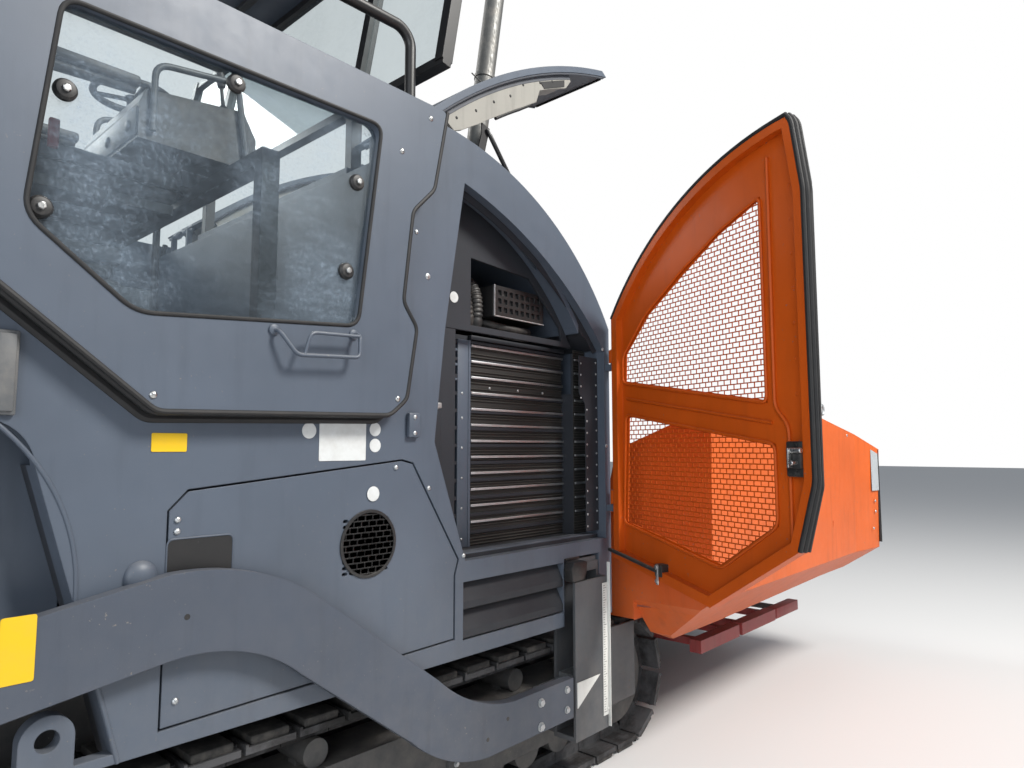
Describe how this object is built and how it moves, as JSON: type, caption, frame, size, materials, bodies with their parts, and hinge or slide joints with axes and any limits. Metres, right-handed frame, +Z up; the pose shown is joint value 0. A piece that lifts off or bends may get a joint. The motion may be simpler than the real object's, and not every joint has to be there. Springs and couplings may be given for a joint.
{
  "type": "tracked asphalt paver",
  "caption": "Tracked road paver with front hopper, slat conveyors, augers and a towed extending screed, open service doors and raised hood lids.",
  "frame": {"origin": "on the ground, below the middle of the machine's bounding box", "axes": "+X forward towards the hopper, +Y to the machine's left, +Z up"},
  "size_m": [6.68, 4.634, 4.0133],
  "materials": {
    "body_paint": "satin grey-blue machine paint, dusty",
    "door_paint": "gloss orange paint, light scratches",
    "red_paint": "dark red paint, chipped",
    "frame_paint": "satin dark grey paint",
    "track_steel": "dark dusty track shoes",
    "bare_steel": "galvanised and worn bright steel",
    "black_steel": "satin black paint",
    "rubber": "matt black rubber",
    "glass": "clear dusty pane",
    "seat_cover": "black seat cover",
    "plastic": "black moulded plastic",
    "lens": "clear lamp lens"
  },
  "bodies": {
    "machine": {"air_boxes": "black_steel", "auger_carrier": "frame_paint", "body_side_left": "body_paint", "body_side_right": "body_paint", "canopy_frame": "black_steel", "canopy_roof": "body_paint", "console_rail": "black_steel", "conveyor_deck": "frame_paint", "conveyor_slats": "bare_steel", "cooler_left": "black_steel", "cooler_right": "black_steel", "cross_beams": "frame_paint", "engine_block": "frame_paint", "engine_hood": "body_paint", "exhaust_stack": "bare_steel", "handrails": "black_steel", "lamps": "lens", "louvres": "body_paint", "main_frame": "frame_paint", "platform_floor": "frame_paint", "rear_body": "frame_paint", "seat_cushions": "seat_cover", "seat_frames": "black_steel", "service_panels": "body_paint", "side_bars": "red_paint", "tow_posts": "body_paint", "track_frame_left": "frame_paint", "track_frame_right": "frame_paint", "track_left": "track_steel", "track_right": "track_steel", "windscreen_glass": "glass"},
    "console": {"console": "plastic"},
    "hopper_apron": {"hopper_apron": "door_paint"},
    "push_beam": {"push_beam": "frame_paint"},
    "tow_sliders": {"tow_sliders": "bare_steel"},
    "screed": {"tow_arms": "body_paint", "arm_pivots": "body_paint", "screed_body": "frame_paint"},
    "lift_barrels": {"lift_barrels": "frame_paint"},
    "lift_rods": {"lift_rods": "bare_steel"},
    "service_door_right": {"service_door_right": "door_paint", "door_mesh_right": "door_paint"},
    "hood_lid_right": {"hood_lid_right": "body_paint"},
    "side_shield_right": {"side_shield_right": "body_paint", "shield_glass_right": "glass"},
    "hopper_wing_right": {"hopper_wing_right": "door_paint"},
    "push_roller_right": {"push_roller_right": "bare_steel"},
    "auger_right": {"auger_right": "bare_steel"},
    "screed_extension_right": {"screed_extension_right": "frame_paint"},
    "service_door_left": {"service_door_left": "door_paint", "door_mesh_left": "door_paint"},
    "hood_lid_left": {"hood_lid_left": "body_paint"},
    "side_shield_left": {"side_shield_left": "body_paint", "shield_glass_left": "glass"},
    "hopper_wing_left": {"hopper_wing_left": "door_paint"},
    "push_roller_left": {"push_roller_left": "bare_steel"},
    "auger_left": {"auger_left": "bare_steel"},
    "screed_extension_left": {"screed_extension_left": "frame_paint"}
  },
  "joints": [
    {"name": "service_door_right_hinge", "type": "hinge", "parent": "machine", "child": "service_door_right", "pos_m": [0.73, -1.254, 1.5], "axis": [0, 0, -1], "range_deg": [0, 69]},
    {"name": "hood_lid_right_hinge", "type": "hinge", "parent": "machine", "child": "hood_lid_right", "pos_m": [-0.362, -0.97, 2.664], "axis": [0, 1, 0], "range_deg": [0, 60]},
    {"name": "side_shield_right_hinge", "type": "hinge", "parent": "machine", "child": "side_shield_right", "pos_m": [-1.99, -1.2625, 2.35], "axis": [0, 0, -1], "range_deg": [0, 75]},
    {"name": "hopper_wing_right_hinge", "type": "hinge", "parent": "machine", "child": "hopper_wing_right", "pos_m": [2, -0.93, 0.652], "axis": [-1, 0, 0], "range_deg": [0, 60]},
    {"name": "auger_right_spin", "type": "hinge", "parent": "machine", "child": "auger_right", "pos_m": [-2.06, -0.64, 0.36], "axis": [0, 1, 0], "continuous": true},
    {"name": "push_roller_right_spin", "type": "hinge", "parent": "push_beam", "child": "push_roller_right", "pos_m": [3.248, -0.35, 0.4], "axis": [0, 1, 0], "continuous": true},
    {"name": "screed_extension_right_slide", "type": "slide", "parent": "screed", "child": "screed_extension_right", "axis": [0, -1, 0], "range_m": [0, 1]},
    {"name": "service_door_left_hinge", "type": "hinge", "parent": "machine", "child": "service_door_left", "pos_m": [0.73, 1.254, 1.5], "axis": [0, 0, 1], "range_deg": [0, 69]},
    {"name": "hood_lid_left_hinge", "type": "hinge", "parent": "machine", "child": "hood_lid_left", "pos_m": [-0.362, 0.97, 2.664], "axis": [0, 1, 0], "range_deg": [0, 60]},
    {"name": "side_shield_left_hinge", "type": "hinge", "parent": "machine", "child": "side_shield_left", "pos_m": [-1.99, 1.2625, 2.35], "axis": [0, 0, 1], "range_deg": [0, 75]},
    {"name": "hopper_wing_left_hinge", "type": "hinge", "parent": "machine", "child": "hopper_wing_left", "pos_m": [2, 0.93, 0.652], "axis": [1, 0, 0], "range_deg": [0, 60]},
    {"name": "auger_left_spin", "type": "hinge", "parent": "machine", "child": "auger_left", "pos_m": [-2.06, 0.64, 0.36], "axis": [0, 1, 0], "continuous": true},
    {"name": "push_roller_left_spin", "type": "hinge", "parent": "push_beam", "child": "push_roller_left", "pos_m": [3.248, 0.35, 0.4], "axis": [0, 1, 0], "continuous": true},
    {"name": "screed_extension_left_slide", "type": "slide", "parent": "screed", "child": "screed_extension_left", "axis": [0, 1, 0], "range_m": [0, 1]},
    {"name": "hopper_apron_hinge", "type": "hinge", "parent": "machine", "child": "hopper_apron", "pos_m": [3.018, 0, 0.545], "axis": [0, 1, 0], "range_deg": [-10, 50]},
    {"name": "push_beam_swivel", "type": "hinge", "parent": "machine", "child": "push_beam", "pos_m": [3.032, 0, 0.4], "axis": [0, 0, 1], "range_deg": [-6, 6]},
    {"name": "tow_point_slide", "type": "slide", "parent": "machine", "child": "tow_sliders", "axis": [0, 0, 1], "range_m": [0, 0.15]},
    {"name": "screed_lift", "type": "hinge", "parent": "tow_sliders", "child": "screed", "pos_m": [0.3, 0, 0.415], "axis": [0, 1, 0], "range_deg": [0, 7.5]},
    {"name": "lift_barrel_pivot", "type": "hinge", "parent": "machine", "child": "lift_barrels", "pos_m": [-1.72, 0, 1.64], "axis": [0, -1, 0], "range_deg": [0, 13.89]},
    {"name": "lift_rod_slide", "type": "slide", "parent": "lift_barrels", "child": "lift_rods", "axis": [-0.0305, 0, 0.9995], "range_m": [0, 0.24139]},
    {"name": "console_slide", "type": "slide", "parent": "machine", "child": "console", "axis": [0, 1, 0], "range_m": [0, 0.94]}
  ],
  "couplings": [
    {"joint": "lift_barrel_pivot", "follows": "screed_lift", "ratio": 1.8496},
    {"joint": "lift_rod_slide", "follows": "screed_lift", "m_per_rad": 1.8425}
  ]
}
